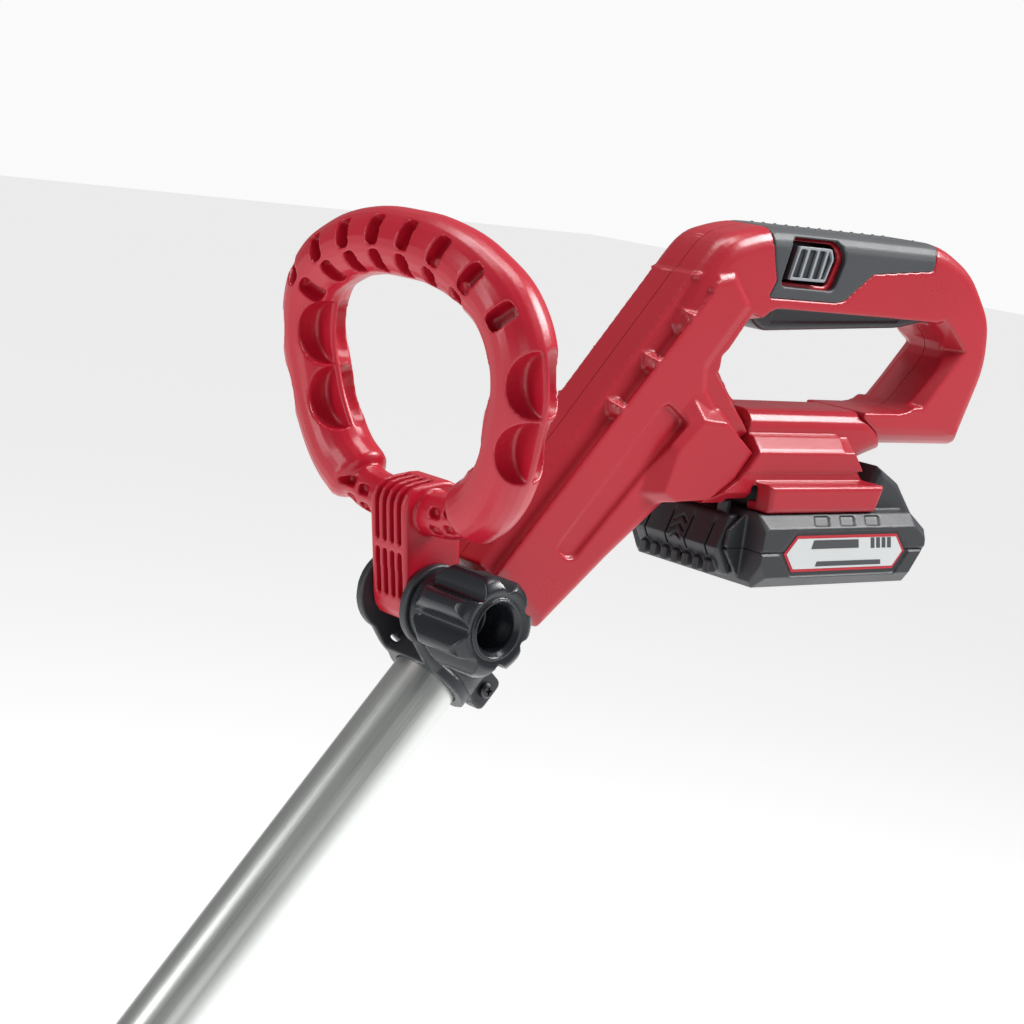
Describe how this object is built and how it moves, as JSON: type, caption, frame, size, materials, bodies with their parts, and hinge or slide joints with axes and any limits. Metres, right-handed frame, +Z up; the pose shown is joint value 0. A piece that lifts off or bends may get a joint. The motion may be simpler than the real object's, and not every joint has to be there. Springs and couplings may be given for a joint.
{
  "type": "string trimmer",
  "caption": "Battery string trimmer with a D grip, folding loop handle, telescopic tube and a tilting, guarded line head.",
  "frame": {"origin": "centre of the flat foot of the bump button, on the spin axis of the line head", "axes": "+Z up with the tool held for cutting, +X from the head towards the rear grip, -Y the left side, where the clamp knob is"},
  "size_m": [0.879, 0.2798, 0.8286],
  "materials": {
    "housing_red": "moulded, fine satin grain, soft gloss",
    "loop_red": "moulded, soft gloss, slightly brighter than the housing",
    "head_red": "moulded, fine satin grain",
    "grip_rubber": "soft overmould, matte",
    "moulded_black": "glass-filled, fine grain",
    "battery_black": "fine spark-eroded grain",
    "button_grey": "fine grain",
    "tube_aluminium": "drawn and anodised, satin",
    "bright_steel": "zinc plated",
    "spring_steel": "bright wire",
    "cell_wrap": "shrink sleeve",
    "lead_black": "smooth insulated lead",
    "cutting_line": "round cutting line, wound in layers"
  },
  "bodies": {
    "root": {"housing_left": "housing_red", "housing_right": "housing_red", "grip_cover": "grip_rubber", "housing_screw_front": "bright_steel", "housing_screw_top": "bright_steel", "housing_screw_rear": "bright_steel", "housing_screw_bar": "bright_steel", "tube_screw": "bright_steel", "battery_base": "housing_red", "terminal_block": "moulded_black", "switch_body": "moulded_black", "switch_lead": "lead_black", "trigger_pin": "bright_steel", "upper_tube": "tube_aluminium", "coiled_lead": "lead_black", "loop_bracket": "moulded_black", "bracket_screw": "bright_steel", "loop_bolt": "bright_steel", "lock_collar": "moulded_black"},
    "trigger_lever": {"trigger": "moulded_black", "trigger_spring": "spring_steel"},
    "plunger": {"switch_plunger": "head_red"},
    "lock_off": {"lock_off_slider": "button_grey", "lock_off_spring": "spring_steel"},
    "battery": {"battery_case_upper": "battery_black", "battery_case_lower": "battery_black", "battery_cell_1": "cell_wrap", "battery_cell_2": "cell_wrap", "battery_cell_3": "cell_wrap", "battery_cell_4": "cell_wrap", "battery_cell_5": "cell_wrap", "latch_spring": "spring_steel"},
    "battery_release": {"battery_latch": "battery_black"},
    "front_handle": {"loop_handle": "loop_red"},
    "clamp_knob": {"knob": "moulded_black"},
    "twist_sleeve": {"lock_sleeve": "head_red"},
    "shaft": {"lower_tube": "tube_aluminium", "lower_lead": "lead_black", "tube_neck": "moulded_black"},
    "head": {"motor_housing_left": "head_red", "motor_housing_right": "head_red", "head_screw_low": "bright_steel", "head_screw_rear": "bright_steel", "motor": "bright_steel", "tilt_pin": "bright_steel", "guard": "moulded_black", "guard_screw_1": "bright_steel", "guard_screw_2": "bright_steel", "line_cutter": "bright_steel"},
    "tilt_release": {"tilt_button": "head_red"},
    "line_head": {"spindle": "bright_steel", "spool_housing": "moulded_black", "spool_cap": "moulded_black", "line_eyelet_1": "bright_steel", "line_eyelet_2": "bright_steel", "spool": "head_red", "wound_line": "cutting_line", "bump_spring": "spring_steel"},
    "bump": {"bump_button": "head_red"},
    "flip_guard": {"edge_wire": "bright_steel"}
  },
  "joints": [
    {"name": "trigger_pull", "type": "hinge", "parent": "root", "child": "trigger_lever", "pos_m": [0.67988, 0, 0.79955], "axis": [0, 1, 0], "range_deg": [0, 4], "stiffness_Nm_per_rad": 1.2, "springref_deg": -8.59},
    {"name": "switch_press", "type": "slide", "parent": "root", "child": "plunger", "axis": [0, 0, 1], "range_m": [0, 0.0038]},
    {"name": "lock_off_slide", "type": "slide", "parent": "root", "child": "lock_off", "axis": [1, 0, 0], "range_m": [0, 0.005], "stiffness_N_per_m": 250, "springref_m": -0.004},
    {"name": "battery_slide", "type": "slide", "parent": "root", "child": "battery", "axis": [1, 0, 0], "range_m": [0, 0.08]},
    {"name": "latch_press", "type": "slide", "parent": "battery", "child": "battery_release", "axis": [0, 0, -1], "range_m": [0, 0.003], "stiffness_N_per_m": 700, "springref_m": -0.003},
    {"name": "loop_tilt", "type": "hinge", "parent": "root", "child": "front_handle", "pos_m": [0.42488, 0, 0.67955], "axis": [0, -1, 0], "range_deg": [0, 90]},
    {"name": "knob_turn", "type": "hinge", "parent": "root", "child": "clamp_knob", "pos_m": [0.42488, 0, 0.67955], "axis": [0, 1, 0], "continuous": true},
    {"name": "lock_twist", "type": "hinge", "parent": "root", "child": "twist_sleeve", "pos_m": [0.18998, 0, 0.35449], "axis": [0.6428, 0, 0.766], "range_deg": [0, 60]},
    {"name": "tube_slide", "type": "slide", "parent": "root", "child": "shaft", "axis": [0.6428, 0, 0.766], "range_m": [0, 0.18]},
    {"name": "head_tilt", "type": "hinge", "parent": "shaft", "child": "head", "pos_m": [0.01, 0, 0.14], "axis": [0, 1, 0], "range_deg": [-20, 40]},
    {"name": "tilt_press", "type": "slide", "parent": "head", "child": "tilt_release", "axis": [0, 1, 0], "range_m": [0, 0.003], "stiffness_N_per_m": 500, "springref_m": -0.003},
    {"name": "line_head_spin", "type": "hinge", "parent": "head", "child": "line_head", "pos_m": [0, 0, 0.03], "axis": [0, 0, 1], "continuous": true},
    {"name": "bump_press", "type": "slide", "parent": "line_head", "child": "bump", "axis": [0, 0, 1], "range_m": [0, 0.0025], "stiffness_N_per_m": 900, "springref_m": -0.004},
    {"name": "wire_flip", "type": "hinge", "parent": "head", "child": "flip_guard", "pos_m": [0, 0, 0.068], "axis": [0, 1, 0], "range_deg": [0, 90]}
  ],
  "couplings": [
    {"joint": "switch_press", "follows": "trigger_pull", "m_per_rad": 0.052}
  ]
}
